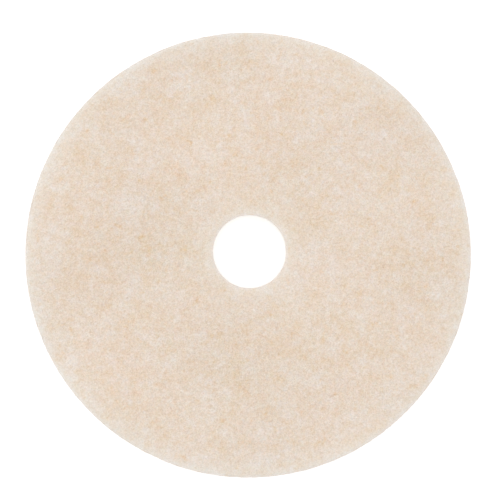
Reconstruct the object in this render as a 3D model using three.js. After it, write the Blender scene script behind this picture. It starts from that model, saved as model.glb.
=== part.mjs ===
// Floor polishing pad: a thick disc of lofty non-woven fibre web with a round hole in its middle.
// Millimetres, +Z up. The origin is the middle of the underside, on the axis of the hole.
//
// The disc and its hole are stamped out of the web together, by two round blades that come down
// through the top face. The springy web is squeezed while it is cut, and opens out again after.
// That gives the rim and the hole the same edge: rolled over at the top, where the blade pulled the
// fibres down, a little hollow up the wall, and crisper at the underside, where the blade came out.
// The wall leans in on its way down, because the lower layers, stretched ahead of the blade, draw
// back from the cut. So the pad is a little smaller at the underside, and its hole a little larger.

import * as THREE from 'three';

// Driving dimensions
const OUTER_DIAMETER = 508; // across the rim at its widest
const HOLE_DIAMETER = 82.55; // across the hole at its narrowest
const THICKNESS = 25.4; // from the underside to the top face
const ROLL_WIDTH = 8.5; // how far in from the wall the top edge is rolled over
const ROLL_DEPTH = 5.2; // how far down the wall that roll reaches
const EXIT_RADIUS = 1.9; // rounding of the edge at the underside
const WALL_HOLLOW = 0.9; // how deep the wall is hollowed halfway up
const WALL_LEAN = 2.2; // how much further in the wall is at the underside than below the roll

// Fineness of the curves
const STEPS_ROUND = 144; // facets round the axis
const ROLL_STEPS = 6;
const WALL_STEPS = 5;
const EXIT_STEPS = 3;

const WEB_COLOUR = 0xe6d6c5;
const WEB_ROUGHNESS = 0.95;

// A quarter of an ellipse between a face and a wall, as points (distance in from the wall, height).
// It runs from the end on the face to the end on the wall, which is nearer the middle height.
function quarterRound(width, faceHeight, wallHeight, steps) {
  const points = [];
  for (let i = 0; i <= steps; i += 1) {
    const turn = (i / steps) * (Math.PI / 2);
    const inward = width * (1 - Math.sin(turn));
    const height = wallHeight + (faceHeight - wallHeight) * Math.cos(turn);
    points.push(new THREE.Vector2(inward, height));
  }
  return points;
}

// The hollow wall between its two heights, without its end points, which the roundings hold.
function hollowWall(low, high, hollow, steps) {
  const points = [];
  for (let i = 1; i < steps; i += 1) {
    const share = i / steps;
    const inward = hollow * Math.sin(Math.PI * share) ** 2;
    points.push(new THREE.Vector2(inward, low + (high - low) * share));
  }
  return points;
}

// The edge that the blade leaves, from the underside up to the top face.
function cutEdge() {
  const wallTop = THICKNESS - ROLL_DEPTH;
  const upright = [
    ...quarterRound(EXIT_RADIUS, 0, EXIT_RADIUS, EXIT_STEPS),
    ...hollowWall(EXIT_RADIUS, wallTop, WALL_HOLLOW, WALL_STEPS),
    ...quarterRound(ROLL_WIDTH, THICKNESS, wallTop, ROLL_STEPS).reverse(),
  ];
  return upright.map((p) => {
    const depth = Math.max(0, wallTop - p.y) / wallTop;
    return new THREE.Vector2(p.x + WALL_LEAN * depth, p.y);
  });
}

// The pad's section in (radius, height): up the rim, in over the top face, down the hole and back
// out along the underside to where it began.
function padSection() {
  const edge = cutEdge();
  const rim = edge.map((p) => new THREE.Vector2(OUTER_DIAMETER / 2 - p.x, p.y));
  const hole = edge.map((p) => new THREE.Vector2(HOLE_DIAMETER / 2 + p.x, p.y));
  return [...rim, ...hole.reverse(), rim[0].clone()];
}

function polishingPad() {
  const geometry = new THREE.LatheGeometry(padSection(), STEPS_ROUND);
  geometry.rotateX(Math.PI / 2);
  const web = new THREE.MeshStandardMaterial({
    color: WEB_COLOUR,
    roughness: WEB_ROUGHNESS,
    metalness: 0,
  });
  const pad = new THREE.Mesh(geometry, web);
  pad.name = 'polishing_pad';
  return pad;
}

const model = new THREE.Group();
model.name = 'floor_polishing_pad';
model.add(polishingPad());

export default model;
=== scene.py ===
import math

import bpy
import numpy as np
from mathutils import Matrix, Vector, noise


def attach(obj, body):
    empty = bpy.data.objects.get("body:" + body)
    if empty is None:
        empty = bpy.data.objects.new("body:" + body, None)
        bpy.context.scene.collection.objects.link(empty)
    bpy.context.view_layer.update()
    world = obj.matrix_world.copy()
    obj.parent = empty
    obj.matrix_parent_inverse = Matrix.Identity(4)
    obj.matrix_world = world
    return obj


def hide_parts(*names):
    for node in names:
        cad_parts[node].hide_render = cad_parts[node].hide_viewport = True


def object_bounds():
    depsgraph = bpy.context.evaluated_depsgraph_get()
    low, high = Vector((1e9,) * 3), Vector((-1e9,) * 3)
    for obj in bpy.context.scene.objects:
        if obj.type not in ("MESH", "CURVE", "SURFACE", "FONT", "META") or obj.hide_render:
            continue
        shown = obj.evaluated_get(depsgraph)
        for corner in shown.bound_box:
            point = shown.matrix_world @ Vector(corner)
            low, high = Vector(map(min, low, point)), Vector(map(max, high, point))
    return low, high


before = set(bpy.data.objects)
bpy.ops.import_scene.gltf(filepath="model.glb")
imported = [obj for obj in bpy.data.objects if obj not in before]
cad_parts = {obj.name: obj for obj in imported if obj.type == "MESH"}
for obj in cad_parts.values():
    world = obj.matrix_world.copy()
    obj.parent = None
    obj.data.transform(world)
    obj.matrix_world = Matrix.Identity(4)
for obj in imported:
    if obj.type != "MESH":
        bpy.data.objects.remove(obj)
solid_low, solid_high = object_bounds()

# The looks of a floor polishing pad: a thick ring of lofty web made of white and amber fibres.
# Metres, in the frame of the solids. The ring of the frame gives the rim, the hole and the thickness.

MM = 0.001
SEED = 20
NODE = "polishing_pad"
HOLE_FUZZ = 0.35 * MM  # how far the fuzz of the hole's edge reaches into the hole

solid_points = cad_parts[NODE].data.vertices
RIM_RADIUS = (solid_high[0] - solid_low[0]) / 2
HOLE_RADIUS = min(math.hypot(v.co.x, v.co.y) for v in solid_points) + HOLE_FUZZ
TOP = solid_high[2]
UNDERSIDE = solid_low[2]

# The cut edge of the rim and the hole, as the solid has it
ROLL_WIDTH = 8.5 * MM
ROLL_DEPTH = 5.2 * MM
EXIT_RADIUS = 1.9 * MM
WALL_HOLLOW = 0.9 * MM
WALL_LEAN = 2.2 * MM  # how much further in the wall is at the underside than where the roll begins

# Spacing of the points of the web's skin
TOP_SPACING = 1.72 * MM
RIM_SPACING = 1.85 * MM
HOLE_SPACING = 1.5 * MM
UNDERSIDE_SPACING = 4.5 * MM
SCATTER = 0.3  # how far a point may lie off its even place, as a share of its spacing
WALL_SCATTER = 0.6  # the share of that up and down the cut walls
ROUND_POINTS = 24
WALL_POINTS = 40

random = np.random.default_rng(SEED)


# Section of the ring, and the skin swept round it

WALL_TOP = TOP - ROLL_DEPTH


def lean(height):
    """How far the cut wall leans in at these heights."""
    return WALL_LEAN * np.clip((WALL_TOP - height) / (WALL_TOP - UNDERSIDE), 0, 1)


def cut_edge():
    """Points (distance in from the wall, height) up the cut edge, from the underside to the top."""
    turn = np.linspace(0, math.pi / 2, ROUND_POINTS)
    exit_round = np.column_stack([
        EXIT_RADIUS * (1 - np.sin(turn)),
        UNDERSIDE + EXIT_RADIUS * (1 - np.cos(turn)),
    ])
    share = np.linspace(0, 1, WALL_POINTS)[1:-1]
    wall = np.column_stack([
        WALL_HOLLOW * np.sin(math.pi * share) ** 2,
        UNDERSIDE + EXIT_RADIUS + (WALL_TOP - UNDERSIDE - EXIT_RADIUS) * share,
    ])
    roll = np.column_stack([
        ROLL_WIDTH * (1 - np.sin(turn)),
        WALL_TOP + ROLL_DEPTH * np.cos(turn),
    ])[::-1]
    edge = np.vstack([exit_round, wall, roll])
    edge[:, 0] += lean(edge[:, 1])
    return edge


def spaced(points, spacing):
    """Points at about that spacing along a polyline, its last point left out."""
    along = np.concatenate([[0], np.cumsum(np.linalg.norm(np.diff(points, axis=0), axis=1))])
    steps = max(2, round(along[-1] / spacing))
    at = np.linspace(0, along[-1], steps + 1)[:-1]
    return np.column_stack([np.interp(at, along, points[:, k]) for k in range(2)])


UNDER, RIM, FACE, HOLE = range(4)


def section():
    """The rings of the skin: (radius, height), the region and the spacing of each, in order."""
    edge = cut_edge()
    rim = edge * [-1, 1] + [RIM_RADIUS, 0]
    hole = (edge + [HOLE_RADIUS, 0])[::-1]
    runs = [
        (np.array([hole[-1], rim[0]]), UNDER, UNDERSIDE_SPACING),
        (rim, RIM, RIM_SPACING),
        (np.array([rim[-1], hole[0]]), FACE, TOP_SPACING),
        (hole, HOLE, HOLE_SPACING),
    ]
    rings, regions, spacings = [], [], []
    for points, region, spacing in runs:
        run = spaced(points, spacing)
        rings.append(run)
        regions += [region] * len(run)
        spacings += [spacing] * len(run)
    return np.vstack(rings), np.array(regions), np.array(spacings)


def stitched(first_a, count_a, first_b, count_b):
    """Triangles between two rings of points, whatever their counts."""
    steps_a = (np.arange(count_a) + 0.5) / count_a
    steps_b = (np.arange(count_b) + 0.5) / count_b
    order = np.argsort(np.concatenate([steps_a, steps_b]), kind="stable")
    on_a = order < count_a
    a = np.cumsum(on_a) - on_a
    b = np.cumsum(~on_a) - ~on_a
    corner_a = first_a + a % count_a
    corner_b = first_b + b % count_b
    third = np.where(on_a, first_a + (a + 1) % count_a, first_b + (b + 1) % count_b)
    return np.column_stack([corner_a, third, corner_b])


FIELD_SHIFT = np.array([3.17, 1.93, 2.71])  # how far the noise moves from one seed to the next


def field(points, size, seed):
    """Smooth noise, about -0.6 to 0.6, with lumps of about that size."""
    return np.array([noise.noise(Vector(p)) for p in points / size + seed * FIELD_SHIFT])


# The relief of the web: (height, lump size) of its loft, its lumps and its tufts, and a fine grain
RELIEF = [(0.45 * MM, 55 * MM), (0.32 * MM, 8 * MM), (0.26 * MM, 3.4 * MM)]
GRAIN = 0.05 * MM
RELIEF_LIMIT = 1.2 * MM  # how far the skin may rise over the top face
WALL_RELIEF = 0.4  # how strong the relief is on the cut walls, beside the faces


def relief(points):
    """How far the web's surface stands off its even form at these points."""
    return sum(height * field(points, size, k + 1) for k, (height, size) in enumerate(RELIEF))


def web_skin():
    """The skin's points, triangles, and the region and angle of each triangle."""
    rings, regions, spacings = section()
    ahead = np.roll(rings, -1, axis=0) - np.roll(rings, 1, axis=0)
    ahead /= np.linalg.norm(ahead, axis=1)[:, None]
    counts = np.round(2 * math.pi * rings[:, 0] / spacings).astype(int)
    firsts = np.concatenate([[0], np.cumsum(counts)[:-1]])
    points, normals, region_of_point = [], [], []
    for (radius, height), (along_r, along_z), count, region, spacing in zip(
        rings, ahead, counts, regions, spacings
    ):
        shift = random.uniform(-SCATTER, SCATTER, (2, count)) * spacing
        angle = np.arange(count) * 2 * math.pi / count + shift[0] / radius
        flat = region in (UNDER, FACE)
        r = radius + shift[1] * flat
        z = np.full(count, height) + shift[1] * (not flat) * WALL_SCATTER
        points.append(np.column_stack([r * np.cos(angle), r * np.sin(angle), z]))
        normals.append(np.column_stack([
            along_z * np.cos(angle), along_z * np.sin(angle), np.full(count, -along_r)
        ]))
        region_of_point += [region] * count
    points, normals = np.vstack(points), np.vstack(normals)
    region_of_point = np.array(region_of_point)
    rise = relief(points) + random.normal(0, GRAIN, len(points))
    strength = np.array([0, WALL_RELIEF, 1, WALL_RELIEF])[region_of_point]
    points = points + normals * (rise * strength)[:, None]
    points[:, 2] = np.clip(points[:, 2], UNDERSIDE, TOP + RELIEF_LIMIT)
    triangles, of_region = [], []
    for i in range(len(rings)):
        j = (i + 1) % len(rings)
        fan = stitched(firsts[i], counts[i], firsts[j], counts[j])
        triangles.append(fan)
        of_region += [regions[i]] * len(fan)
    return points, np.vstack(triangles), np.array(of_region)


# Meshes

def new_mesh(name, points, triangles, uv, material, smooth=True):
    """A piece of the pad from arrays: points, triangles and one UV point for each corner."""
    mesh = bpy.data.meshes.new(name)
    mesh.vertices.add(len(points))
    mesh.vertices.foreach_set("co", np.ascontiguousarray(points, np.float32).ravel())
    mesh.loops.add(3 * len(triangles))
    mesh.loops.foreach_set("vertex_index", triangles.astype(np.int32).ravel())
    mesh.polygons.add(len(triangles))
    mesh.polygons.foreach_set("loop_start", np.arange(0, 3 * len(triangles), 3, dtype=np.int32))
    mesh.polygons.foreach_set("use_smooth", np.full(len(triangles), smooth))
    layer = mesh.uv_layers.new(name="OFBake")
    layer.data.foreach_set("uv", np.ascontiguousarray(uv, np.float32).ravel())
    mesh.update()
    mesh.validate()
    mesh.materials.append(material)
    piece = bpy.data.objects.new(name, mesh)
    bpy.context.collection.objects.link(piece)
    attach(piece, "root")
    return piece


# The flat map of the skin: the middle and the half size of the round map of each face, and the radius
# that the half size stands for; then, for each cut wall, the number of its strips, their left and
# lowest edges and their width
FACE_MAP = (0.315, 0.31)
UNDER_MAP = (0.727, 0.268)
MAP_REACH = RIM_RADIUS + 2 * MM
WALL_MAPS = [(RIM, 6, 0.65, 0.02, 0.33), (HOLE, 2, 0.02, 0.67, 0.36)]
STRIP_PITCH = 0.06
STRIP_HEIGHT = 0.045
STRIP_MARGIN = 0.005
FACE_MAP_DEPTH = 0.7 * ROLL_DEPTH  # how far down the roll the map of the top face reaches


def skin_uv(points, triangles, regions):
    """The flat map of the skin: two round maps of the faces, and the walls in strips beside them."""
    corners = points[triangles]
    uv = np.zeros((len(triangles), 3, 2))
    high = corners[:, :, 2].mean(axis=1) > TOP - FACE_MAP_DEPTH
    face = (regions == FACE) | (regions != UNDER) & high
    under = regions == UNDER
    uv[face] = FACE_MAP[0] + corners[face][:, :, :2] / MAP_REACH * FACE_MAP[1]
    uv[under] = UNDER_MAP[0] + corners[under][:, :, :2] * [-1, 1] / MAP_REACH * UNDER_MAP[1]
    for region, strips, left, base, width in WALL_MAPS:
        wall = (regions == region) & ~face
        x, y, z = corners[wall].transpose(2, 0, 1)
        angle = np.arctan2(y, x)
        middle = np.arctan2(y.mean(axis=1), x.mean(axis=1)) % (2 * math.pi)
        strip = np.floor(middle / (2 * math.pi) * strips)
        start = strip * 2 * math.pi / strips
        offset = (angle - start[:, None] + math.pi / 2) % (2 * math.pi) - math.pi / 2
        share = offset / (2 * math.pi / strips)
        uv[wall, :, 0] = left + STRIP_MARGIN + share * (width - 2 * STRIP_MARGIN)
        rise = (z - UNDERSIDE) / (TOP - UNDERSIDE)
        uv[wall, :, 1] = base + strip[:, None] * STRIP_PITCH + rise * STRIP_HEIGHT
    return uv.reshape(-1, 2)


# Materials

def material_tree(name):
    """A new material, its node tree and its Principled shader."""
    material = bpy.data.materials.new(name)
    material.use_nodes = True
    tree = material.node_tree
    return material, tree, tree.nodes["Principled BSDF"]


def linear(red, green, blue):
    """The linear colour of an sRGB one given in 0 to 255, as it is for all but the darkest colours."""
    return [((c / 255 + 0.055) / 1.055) ** 2.4 for c in (red, green, blue)]


def math_node(tree, operation, *inputs):
    """The outcome of one sum; each input is a number or a socket."""
    node = tree.nodes.new("ShaderNodeMath")
    node.operation = operation
    for socket, value in zip(node.inputs, inputs):
        if isinstance(value, (int, float)):
            socket.default_value = value
        else:
            tree.links.new(value, socket)
    return node.outputs[0]


def vector_node(tree, operation, *inputs):
    """The outcome of one sum with vectors; each input is a vector, a number or a socket."""
    node = tree.nodes.new("ShaderNodeVectorMath")
    node.operation = operation
    sockets = [s for s in node.inputs if s.enabled]
    for socket, value in zip(sockets, inputs):
        if isinstance(value, (int, float, tuple, list)):
            socket.default_value = value
        else:
            tree.links.new(value, socket)
    return node.outputs["Value"] if operation in ("LENGTH", "DOT_PRODUCT") else node.outputs["Vector"]


def noise_node(tree, place, size, detail=1.0, roughness=0.6, distortion=0.0):
    """Noise between 0 and 1 with lumps of about that size."""
    node = tree.nodes.new("ShaderNodeTexNoise")
    node.inputs["Scale"].default_value = 1 / size
    node.inputs["Detail"].default_value = detail
    node.inputs["Roughness"].default_value = roughness
    node.inputs["Distortion"].default_value = distortion
    tree.links.new(place, node.inputs["Vector"])
    return node.outputs["Fac"]


# Colours of the web, as sRGB: its own, and painted light along the rim and the hole: a paler painted glow
# that stands in for light shining through the web's edge, a stronger painted lift on the last stretch of
# the roll against the shade there, and a change on the cut wall below that takes back part of both. Each
# change fades with the distance from the edge.
WEB = (231.3, 215.3, 198.8)
PAINTED_GLOW_REACH = 10.6 * MM
PAINTED_GLOW_AT_RIM = (5, 13, 18.5)
PAINTED_GLOW_AT_HOLE = (5.5, 10.5, 13.5)
CALMER = 0.35  # the share of the mottling that the painted glow washes out there
# painted light: a paler tint on the last stretch of the roll, against the shade that falls there
PAINTED_LIFT_REACH = 1.6 * MM
ROLL_PAINTED_LIFT_AT_RIM = (10, 16, 26)
ROLL_PAINTED_LIFT_AT_HOLE = (13, 17, 28)
# on the cut wall: a change that takes back part of the painted glow and lift, and leaves the rest as
# painted light against the wall's shade, most in the hole
WALL_REACH = 5 * MM
WALL_BLEND = (3.0 * MM, 0.4 * MM)  # above the end of the roll, where its colour begins and is full
WALL_AT_RIM = (-6, -15, -24)
WALL_AT_HOLE = (-1, 0, -4)

# The ways in which the colour wanders, as changes of sRGB for one step, and the noises that drive
# each: (lump size, steps from its middle to its ends, octaves below that size, share of each next)
AMBER = (0.2, 0.78, 1.52)
AMBER_NOISES = [(30 * MM, 29, 5, 0.97), (8 * MM, 9, 1, 0.8), (110 * MM, 1.5, 0, 0)]
LIGHT = (1.0, 1.0, 1.1)
LIGHT_NOISES = [(1.6 * MM, 27, 1, 1.0), (60 * MM, 0.3, 1, 1.0), (130 * MM, 4.6, 0, 0)]
PINK = (0.6, -0.6, 0.4)
PINK_NOISES = [(7 * MM, 6, 3, 0.95), (60 * MM, 1.2, 1, 1.0)]

# How far the noises of each way are moved, so that no two are alike
AMBER_SHIFT = 0.3
LIGHT_SHIFT = 1.7
PINK_SHIFT = 2.9

# The layers of fibre that show on the cut wall: how long and how thick they are, and their steps
LAYER_LENGTH = 9 * MM
LAYER_THICKNESS = 1.6 * MM
LAYER_STEPS = 16
LAYER = (0.8, 1.0, 1.4)

# Flecks where amber fibres lie thick: lump size, the noise levels where one begins and is full, steps
FLECK_SIZE = 13 * MM
FLECK_LEVELS = (0.58, 0.76)
FLECK_STEPS = -12


def colour_change(tree, step, total):
    """The change of linear colour that so many steps make."""
    change = [a - b for a, b in zip(linear(*(w + c for w, c in zip(WEB, step))), linear(*WEB))]
    scaled = vector_node(tree, "SCALE", tuple(change))
    tree.links.new(total, scaled.node.inputs["Scale"])
    return scaled


def wander(tree, place, noises, shift):
    """How many steps a few noises go along one way."""
    total = 0.0
    for k, (size, steps, octaves, share) in enumerate(noises):
        moved = vector_node(tree, "ADD", place, (shift + k, shift - k, shift))
        level = math_node(tree, "SUBTRACT", noise_node(tree, moved, size, octaves, share), 0.5)
        total = math_node(tree, "MULTIPLY_ADD", level, 2.0 * steps, total)
    return total


def mottled(tree, place):
    """The web's colour, wandering between white and amber."""
    level = noise_node(tree, place, FLECK_SIZE, detail=2.0, roughness=0.7, distortion=0.3)
    fleck = tree.nodes.new("ShaderNodeMapRange")
    fleck.interpolation_type = "SMOOTHSTEP"
    fleck.inputs["From Min"].default_value, fleck.inputs["From Max"].default_value = FLECK_LEVELS
    tree.links.new(level, fleck.inputs["Value"])
    steps = wander(tree, place, AMBER_NOISES, AMBER_SHIFT)
    steps = math_node(tree, "MULTIPLY_ADD", fleck.outputs[0], FLECK_STEPS, steps)
    colour = vector_node(tree, "ADD", colour_change(tree, AMBER, steps), tuple(linear(*WEB)))
    for way, noises, shift in ((LIGHT, LIGHT_NOISES, LIGHT_SHIFT), (PINK, PINK_NOISES, PINK_SHIFT)):
        change = colour_change(tree, way, wander(tree, place, noises, shift))
        colour = vector_node(tree, "ADD", change, colour)
    return colour


def mixed(tree, factor, colour, other):
    """One colour mixed with another; a fixed one is given as sRGB."""
    mix = tree.nodes.new("ShaderNodeMix")
    mix.data_type = "RGBA"
    if isinstance(factor, float):
        mix.inputs["Factor"].default_value = factor
    else:
        tree.links.new(factor, mix.inputs["Factor"])
    tree.links.new(colour, mix.inputs[6])
    if isinstance(other, tuple):
        mix.inputs[7].default_value = (*linear(*other), 1)
    else:
        tree.links.new(other, mix.inputs[7])
    return mix.outputs[2]


def with_edges(tree, place, colour):
    """The colour with painted light at the rim and the hole: a paler glow, and a lift against the shade on
    the roll and the cut wall; with the layers of fibre on the cut wall.
    """
    radius = vector_node(tree, "LENGTH", vector_node(tree, "MULTIPLY", place, (1, 1, 0)))
    from_rim = math_node(tree, "SUBTRACT", RIM_RADIUS, radius)
    from_hole = math_node(tree, "SUBTRACT", radius, HOLE_RADIUS)
    inside = math_node(tree, "MINIMUM", from_rim, from_hole)
    inside = math_node(tree, "MAXIMUM", inside, 0.0)
    # painted light: the glow towards the edges, the lift on the roll, and the wall's share of both
    painted_glow, roll, wall = (
        math_node(tree, "EXPONENT", math_node(tree, "MULTIPLY", inside, -1 / reach))
        for reach in (PAINTED_GLOW_REACH, PAINTED_LIFT_REACH, WALL_REACH)
    )
    height = tree.nodes.new("ShaderNodeSeparateXYZ")
    tree.links.new(place, height.inputs[0])
    start, full = (WALL_TOP + above for above in WALL_BLEND)
    below = math_node(tree, "MULTIPLY_ADD", height.outputs["Z"], 1 / (full - start), start / (start - full))
    below.node.use_clamp = True
    wall = math_node(tree, "MULTIPLY", wall, below)
    # the painted glow washes out part of the mottling
    colour = mixed(tree, math_node(tree, "MULTIPLY", painted_glow, CALMER), colour, WEB)
    at_rim = math_node(tree, "GREATER_THAN", radius, (RIM_RADIUS + HOLE_RADIUS) / 2)
    at_hole = math_node(tree, "SUBTRACT", 1.0, at_rim)
    changes = (
        (painted_glow, PAINTED_GLOW_AT_RIM, PAINTED_GLOW_AT_HOLE),
        (roll, ROLL_PAINTED_LIFT_AT_RIM, ROLL_PAINTED_LIFT_AT_HOLE),
        (wall, WALL_AT_RIM, WALL_AT_HOLE),
    )
    # add the painted glow, the painted lift on the roll and the wall's change, at the rim and at the hole
    for share, rim_change, hole_change in changes:
        for side, change in ((at_rim, rim_change), (at_hole, hole_change)):
            step = colour_change(tree, change, math_node(tree, "MULTIPLY", share, side))
            colour = vector_node(tree, "ADD", step, colour)
    layers = vector_node(tree, "MULTIPLY", place, (1, 1, LAYER_LENGTH / LAYER_THICKNESS))
    level = noise_node(tree, layers, LAYER_LENGTH, detail=3.0, roughness=0.7, distortion=0.2)
    level = math_node(tree, "MULTIPLY", math_node(tree, "SUBTRACT", level, 0.5), 2.0 * LAYER_STEPS)
    layer = colour_change(tree, LAYER, math_node(tree, "MULTIPLY", level, wall))
    return vector_node(tree, "ADD", layer, colour)


def set_cloth(shader):
    """The dull, slightly fuzzy finish of the fibres."""
    shader.inputs["Roughness"].default_value = 0.88
    shader.inputs["Specular IOR Level"].default_value = 0.25
    shader.inputs["Sheen Weight"].default_value = 0.04
    shader.inputs["Sheen Roughness"].default_value = 0.5


# The fine strands that the bump draws on the web: their directions, width and depth
STRAND_TURNS = (0.3, 1.35, 2.4)
STRAND_WIDTH = 0.7 * MM
STRAND_DEPTH = 0.5 * MM
STRAND_STRETCH = 0.12  # their width as a share of their length
STRAND_STRENGTH = 0.4
ROUGHNESS = (0.75, 0.95)
ROUGHNESS_SIZE = 2.5 * MM


def web_material():
    """The web's own colour with painted light at the rim and the hole, with fine strands as bump and a
    roughness that varies a little.
    """
    material, tree, shader = material_tree("fibre_web")
    set_cloth(shader)
    place = tree.nodes.new("ShaderNodeTexCoord").outputs["Object"]
    colour = with_edges(tree, place, mottled(tree, place))
    tree.links.new(colour, shader.inputs["Base Color"])
    least, most = ROUGHNESS
    rough = noise_node(tree, place, ROUGHNESS_SIZE, 2.0)
    rough = math_node(tree, "MULTIPLY_ADD", rough, most - least, least)
    tree.links.new(rough, shader.inputs["Roughness"])
    strands = 0.0
    for turn in STRAND_TURNS:
        turned = tree.nodes.new("ShaderNodeMapping")
        turned.inputs["Rotation"].default_value = (0, 0, turn)
        turned.inputs["Scale"].default_value = (1, STRAND_STRETCH, 1)
        tree.links.new(place, turned.inputs["Vector"])
        strand = noise_node(tree, turned.outputs[0], STRAND_WIDTH, 1.0, roughness=0.5, distortion=0.4)
        strands = math_node(tree, "ADD", strand, strands)
    bump = tree.nodes.new("ShaderNodeBump")
    bump.inputs["Strength"].default_value = STRAND_STRENGTH
    bump.inputs["Distance"].default_value = STRAND_DEPTH
    tree.links.new(strands, bump.inputs["Height"])
    tree.links.new(bump.outputs[0], shader.inputs["Normal"])
    return material


# Colours of a loose fibre, from tone 0 to tone 1
AMBER_FIBRE = (231, 196, 158)
PLAIN_FIBRE = (233, 217, 201)
WHITE_FIBRE = (238, 234, 229)
OWN_COLOUR = 0.5  # the share of a fibre's own colour, beside the mottled one


def fibre_material():
    """As the web, with the same painted light at the rim and the hole, lighter or darker fibre by fibre."""
    material, tree, shader = material_tree("loose_fibre")
    set_cloth(shader)
    place = tree.nodes.new("ShaderNodeTexCoord").outputs["Object"]
    tone = tree.nodes.new("ShaderNodeAttribute")
    tone.attribute_name = "tone"
    ramp = tree.nodes.new("ShaderNodeValToRGB")
    ramp.color_ramp.elements[0].color = (*linear(*AMBER_FIBRE), 1)
    ramp.color_ramp.elements[1].color = (*linear(*WHITE_FIBRE), 1)
    middle = ramp.color_ramp.elements.new(0.5)
    middle.color = (*linear(*PLAIN_FIBRE), 1)
    tree.links.new(tone.outputs["Fac"], ramp.inputs["Fac"])
    colour = mixed(tree, OWN_COLOUR, mottled(tree, place), ramp.outputs["Color"])
    # the same painted light at the rim and the hole as on the web
    tree.links.new(with_edges(tree, place, colour), shader.inputs["Base Color"])
    return material


# Loose fibres

SIDES = 3
FIBRE_STEPS = 3
TRIANGLES_A_FIBRE = 2 * SIDES * FIBRE_STEPS + 2
PIECE_LIMIT = 195000  # triangles
WEB_FIBRES = PIECE_LIMIT // TRIANGLES_A_FIBRE

# Their sizes in millimetres, as least and most: length, how far they stand off the web, thickness
FACE_LENGTH = (4, 10)
WALL_LENGTH = (4, 11)
TOP_RISE = (0.05, 0.35)
UNDERSIDE_RISE = (0.1, 0.3)
WALL_RISE = (0.05, 0.28)
THICKNESS = (0.11, 0.18)
AMBER_THICKNESS = (0.1, 0.16)
WALL_THICKNESS = (0.1, 0.17)

# How far they usually bow sideways, in millimetres: one of a certain length on a face, and any on a wall
FACE_BOW = 0.8
FACE_BOW_LENGTH = 12
WALL_BOW = 0.5

# Their usual tone, from amber at 0 to white at 1, and how far it varies
WHITE_TONE = 0.85
AMBER_TONE = 0.25
PLAIN_TONE = 0.6
FACE_TONE_SPREAD = 0.16
WALL_TONE_SPREAD = 0.2

DIVE = 5.5  # how steeply the ends of a fibre go down into the web; at 4 they would lie level with it
TAPER = 1.2  # four times the share of its thickness that a fibre loses at its ends
CELL_MARGIN = 0.15  # the share of its cell of the flat map that a fibre leaves free on each side

# How they lie on the faces
FACE_JITTER = 1.2 * MM  # how far each is moved from its even place
EDGE_MARGIN = 1.5 * MM  # the least distance of one's middle from the rim or the hole
SHORT_REACH = 9 * MM  # those nearer than this to the rim or the hole are shorter
SHORTEST = 0.25  # the least share of its length that one there keeps
UNDER_LIFT = 0.32 * MM  # how far above the plane of the underside the middles of its fibres are

# How they lie on the walls
WALL_HEIGHTS = (1.0 * MM, TOP - 1.5 * MM)
WALL_PITCH = 0.3  # how far they stray from level, as an angle
WALL_TIP = 1.1  # the angle by which they face upwards at the top of the roll
IN_THE_HOLE = 0.7  # how long those in the hole are, beside those on the rim
ROUND_THE_RIM = 0.5  # the share of the rim's own curve that is added to a fibre's rise


def fibres(name, centre, along, outward, length, thickness, rise, bow, tone, material):
    """Thin curved tubes, one for each row of the arrays. Each arches over the skin, with its ends in it."""
    count = len(centre)
    across = np.cross(outward, along)
    share = np.linspace(-0.5, 0.5, FIBRE_STEPS + 1)
    arch = rise[:, None] * (1 - DIVE * share ** 2)
    # A bow to one side, and half as much of an S, whose depth is drawn from another fibre's bow
    side = bow[:, None] * (4 * share ** 2 - 0.33) + 0.5 * bow[::-1, None] * (8 * share ** 3 - share)
    line = (centre[:, None] + along[:, None] * (length[:, None] * share)[:, :, None]
            + across[:, None] * side[:, :, None] + outward[:, None] * arch[:, :, None])
    line[:, :, 2] = np.maximum(line[:, :, 2], UNDERSIDE + thickness[:, None] / 2)
    ahead = np.gradient(line, axis=1)
    ahead /= np.linalg.norm(ahead, axis=2, keepdims=True)
    first = np.cross(ahead, outward[:, None])
    first /= np.linalg.norm(first, axis=2, keepdims=True)
    second = np.cross(ahead, first)
    taper = (1 - TAPER * share ** 2)[None, :, None]
    radius = thickness[:, None, None] / 2 * taper
    turns = np.arange(SIDES) * 2 * math.pi / SIDES
    rings = [line + radius * (first * math.cos(t) + second * math.sin(t)) for t in turns]
    points = np.stack(rings, axis=2).reshape(-1, 3)
    base = (np.arange(count) * (FIBRE_STEPS + 1) * SIDES)[:, None]
    pattern, pattern_uv = [], []
    for step in range(FIBRE_STEPS):
        for k in range(SIDES):
            n = (k + 1) % SIDES
            a, b = step * SIDES + k, step * SIDES + n
            c, d = a + SIDES, b + SIDES
            u0, u1 = k / SIDES, (k + 1) / SIDES
            v0, v1 = step / FIBRE_STEPS, (step + 1) / FIBRE_STEPS
            pattern += [(a, b, c), (b, d, c)]
            pattern_uv += [((u0, v0), (u1, v0), (u0, v1)), ((u1, v0), (u1, v1), (u0, v1))]
    last = FIBRE_STEPS * SIDES
    pattern += [(0, 2, 1), (last, last + 1, last + 2)]
    pattern_uv += [((0, 0), (1, 0), (1, 0.1)), ((0, 1), (1, 1), (1, 0.9))]
    triangles = (base[:, :, None] + np.array(pattern)[None]).reshape(-1, 3)
    cells = math.ceil(math.sqrt(count))
    cell = np.stack([np.arange(count) % cells, np.arange(count) // cells], axis=1)[:, None, None, :]
    on_map = cell + CELL_MARGIN + (1 - 2 * CELL_MARGIN) * np.array(pattern_uv)[None]
    uv = (on_map / cells).reshape(-1, 2)
    piece = new_mesh(name, points, triangles, uv, material, smooth=False)
    layer = piece.data.attributes.new("tone", "FLOAT", "POINT")
    layer.data.foreach_set("value", np.repeat(tone, (FIBRE_STEPS + 1) * SIDES).astype(np.float32))
    return piece


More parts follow.
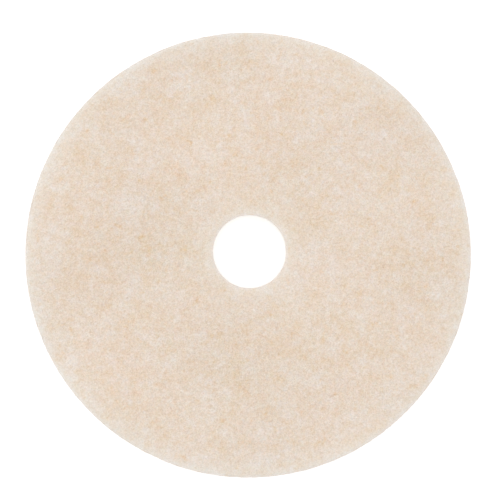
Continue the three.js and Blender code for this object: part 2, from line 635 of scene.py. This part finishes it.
def spread(count, jitter):
    """Places spread evenly over the ring, as the seeds of a sunflower are, each moved a little."""
    i = np.arange(count) + 0.5
    r = np.sqrt(HOLE_RADIUS ** 2 + (RIM_RADIUS ** 2 - HOLE_RADIUS ** 2) * i / count)
    a = i * math.pi * (3 - math.sqrt(5)) + random.uniform(0, 2 * math.pi)
    return r * np.cos(a) + random.normal(0, jitter, count), r * np.sin(a) + random.normal(0, jitter, count)


def on_a_face(name, count, face_z, up, tone, thickness, material):
    """Fibres lying on the top face (up 1) or on the underside (up -1)."""
    x, y = spread(count, FACE_JITTER)
    turn = random.uniform(0, 2 * math.pi, count)
    radius = np.hypot(x, y)
    near = np.minimum(RIM_RADIUS - radius, radius - HOLE_RADIUS)
    centre = np.column_stack([x, y, np.full(count, face_z)])
    if up > 0:
        inside = np.clip(near / ROLL_WIDTH, 0, 1)
        centre[:, 2] -= ROLL_DEPTH * (1 - np.sqrt(1 - (1 - inside) ** 2))
        centre[:, 2] += relief(centre)
    keep = near > EDGE_MARGIN
    length = random.uniform(*FACE_LENGTH, count) * MM * np.clip(near / SHORT_REACH, SHORTEST, 1)
    rise = random.uniform(*(TOP_RISE if up > 0 else UNDERSIDE_RISE), count) * MM
    bow = random.normal(0, FACE_BOW, count) * MM * length / (FACE_BOW_LENGTH * MM)
    along = np.column_stack([np.cos(turn), np.sin(turn), np.zeros(count)])
    outward = np.tile([0.0, 0.0, up], (count, 1))
    thick = random.uniform(*thickness, count) * MM
    tones = np.clip(random.normal(tone, FACE_TONE_SPREAD, count), 0, 1)
    parts = [centre, along, outward, length, thick, rise, bow, tones]
    centre, along, outward, length, thick, rise, bow, tones = (p[keep] for p in parts)
    return fibres(name, centre, along, outward, length, thick, rise, bow, tones, material)


def on_the_walls(name, count, material):
    """Fibres along the cut walls, most of them in level layers, with short ends that stand out."""
    rim_share = RIM_RADIUS / (RIM_RADIUS + HOLE_RADIUS)
    at_rim = random.uniform(0, 1, count) < rim_share
    a = random.uniform(0, 2 * math.pi, count)
    height = random.uniform(*WALL_HEIGHTS, count)
    share = np.clip((height - EXIT_RADIUS) / (WALL_TOP - EXIT_RADIUS), 0, 1)
    inward = WALL_HOLLOW * np.sin(math.pi * share) ** 2 + lean(height)
    over = np.clip((height - WALL_TOP) / ROLL_DEPTH, 0, 1)
    inward += ROLL_WIDTH * (1 - np.sqrt(1 - over ** 2))
    radius = np.where(at_rim, RIM_RADIUS - inward, HOLE_RADIUS + inward)
    sign = np.where(at_rim, 1.0, -1.0)
    centre = np.column_stack([radius * np.cos(a), radius * np.sin(a), height])
    tip = over * WALL_TIP
    outward = np.column_stack([sign * np.cos(a) * np.cos(tip), sign * np.sin(a) * np.cos(tip), np.sin(tip)])
    centre += outward * WALL_RELIEF * relief(centre)[:, None]
    level = np.column_stack([-np.sin(a), np.cos(a), np.zeros(count)])
    steep = np.cross(outward, level)
    pitch = random.normal(0, WALL_PITCH, count)[:, None]
    along = level * np.cos(pitch) + steep * np.sin(pitch)
    length = random.uniform(*WALL_LENGTH, count) * MM * np.where(at_rim, 1, IN_THE_HOLE)
    sag = length ** 2 / 8 / radius * sign
    rise = random.uniform(*WALL_RISE, count) * MM + np.maximum(sag, 0) * ROUND_THE_RIM
    bow = random.normal(0, WALL_BOW, count) * MM
    thick = random.uniform(*WALL_THICKNESS, count) * MM
    tones = np.clip(random.normal(PLAIN_TONE, WALL_TONE_SPREAD, count), 0, 1)
    return fibres(name, centre, along, outward, length, thick, rise, bow, tones, material)


def make_pad():
    """The skin of the web, which stands for the solid, and the loose fibres on it."""
    points, triangles, regions = web_skin()
    web = new_mesh("pad_web", points, triangles, skin_uv(points, triangles, regions), web_material())
    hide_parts(NODE)
    fibre = fibre_material()
    on_a_face("white_fibres", WEB_FIBRES, TOP, 1.0, WHITE_TONE, THICKNESS, fibre)
    on_a_face("amber_fibres", WEB_FIBRES, TOP, 1.0, AMBER_TONE, AMBER_THICKNESS, fibre)
    on_the_walls("edge_fibres", WEB_FIBRES, fibre)
    underside = UNDERSIDE + UNDER_LIFT
    on_a_face("underside_fibres", WEB_FIBRES, underside, -1.0, PLAIN_TONE, THICKNESS, fibre)


# Floor, light and camera

FLOOR_SIDE = 6.0
FLOOR_GAP = 0.05 * MM  # between the floor and the underside
FLOOR_WHITE = (0.92, 0.92, 0.92)
CAMERA_WHITE = 0.38  # the glow that brings the floor to white, for the camera and for reflections only
ROOM_LIGHT = 0.97  # the strength of the room's light; the camera and reflections see it at 1
KEY_PLACE = (-1.1, 1.0, 1.5)
KEY_SIZE = 1.2
KEY_POWER = 3


def stage():
    """A white floor that keeps the pad's shadow."""
    bpy.ops.mesh.primitive_plane_add(size=FLOOR_SIDE, location=(0, 0, UNDERSIDE - FLOOR_GAP))
    floor = bpy.context.object
    floor.name = "floor"
    material, tree, shader = material_tree("floor_white")
    tree.nodes.remove(shader)
    path = tree.nodes.new("ShaderNodeLightPath")
    seen = math_node(tree, "MAXIMUM", path.outputs["Is Camera Ray"], path.outputs["Is Glossy Ray"])
    seen = math_node(tree, "MAXIMUM", seen, path.outputs["Is Transmission Ray"])
    diffuse = tree.nodes.new("ShaderNodeBsdfDiffuse")
    diffuse.inputs["Color"].default_value = (*FLOOR_WHITE, 1)
    glow = tree.nodes.new("ShaderNodeEmission")
    tree.links.new(math_node(tree, "MULTIPLY", seen, CAMERA_WHITE), glow.inputs["Strength"])
    both = tree.nodes.new("ShaderNodeAddShader")
    tree.links.new(diffuse.outputs[0], both.inputs[0])
    tree.links.new(glow.outputs[0], both.inputs[1])
    tree.links.new(both.outputs[0], tree.nodes["Material Output"].inputs["Surface"])
    floor.data.materials.append(material)


def light():
    """An even white room and one soft lamp."""
    world = bpy.data.worlds.new("room")
    bpy.context.scene.world = world
    world.use_nodes = True
    tree = world.node_tree
    room = tree.nodes["Background"]
    room.inputs["Color"].default_value = (1, 1, 1, 1)
    path = tree.nodes.new("ShaderNodeLightPath")
    seen = math_node(tree, "MAXIMUM", path.outputs["Is Camera Ray"], path.outputs["Is Glossy Ray"])
    seen = math_node(tree, "MAXIMUM", seen, path.outputs["Is Transmission Ray"])
    strength = math_node(tree, "MULTIPLY_ADD", seen, 1 - ROOM_LIGHT, ROOM_LIGHT)
    tree.links.new(strength, room.inputs["Strength"])
    lamp_data = bpy.data.lights.new("key", "AREA")
    lamp_data.shape = "DISK"
    lamp_data.size = KEY_SIZE
    lamp_data.energy = KEY_POWER
    lamp = bpy.data.objects.new("key", lamp_data)
    bpy.context.collection.objects.link(lamp)
    lamp.location = KEY_PLACE
    aim = Vector((0, 0, 0)) - lamp.location
    lamp.rotation_mode = "QUATERNION"
    lamp.rotation_quaternion = aim.to_track_quat("-Z", "Y")


# The photograph's camera: how far it stood, how it leaned, what it aimed at, and the lens in pixels
CAMERA_DISTANCE = 0.915
CAMERA_TILT = math.radians(3.7)
CAMERA_SIDE = math.radians(-111.7)
CAMERA_AIM = Vector((0.35 * MM, 1.38 * MM, TOP))
PICTURE_SIDE = 500
LENS_PIXELS = 806.4


def camera():
    """The camera, where the photograph's stood."""
    data = bpy.data.cameras.new("camera")
    data.sensor_width = 36
    data.lens = data.sensor_width * LENS_PIXELS / PICTURE_SIDE
    eye = bpy.data.objects.new("camera", data)
    bpy.context.collection.objects.link(eye)
    back = Vector((
        math.sin(CAMERA_TILT) * math.cos(CAMERA_SIDE),
        math.sin(CAMERA_TILT) * math.sin(CAMERA_SIDE),
        math.cos(CAMERA_TILT),
    ))
    right = Vector((0, 1, 0)).cross(back).normalized()
    up = back.cross(right)
    eye.matrix_world = Matrix.Translation(CAMERA_AIM + back * CAMERA_DISTANCE) @ Matrix(
        (right, up, back)
    ).transposed().to_4x4()
    bpy.context.scene.camera = eye


camera()
make_pad()
stage()
light()
bpy.context.scene.view_settings.view_transform = "Standard"
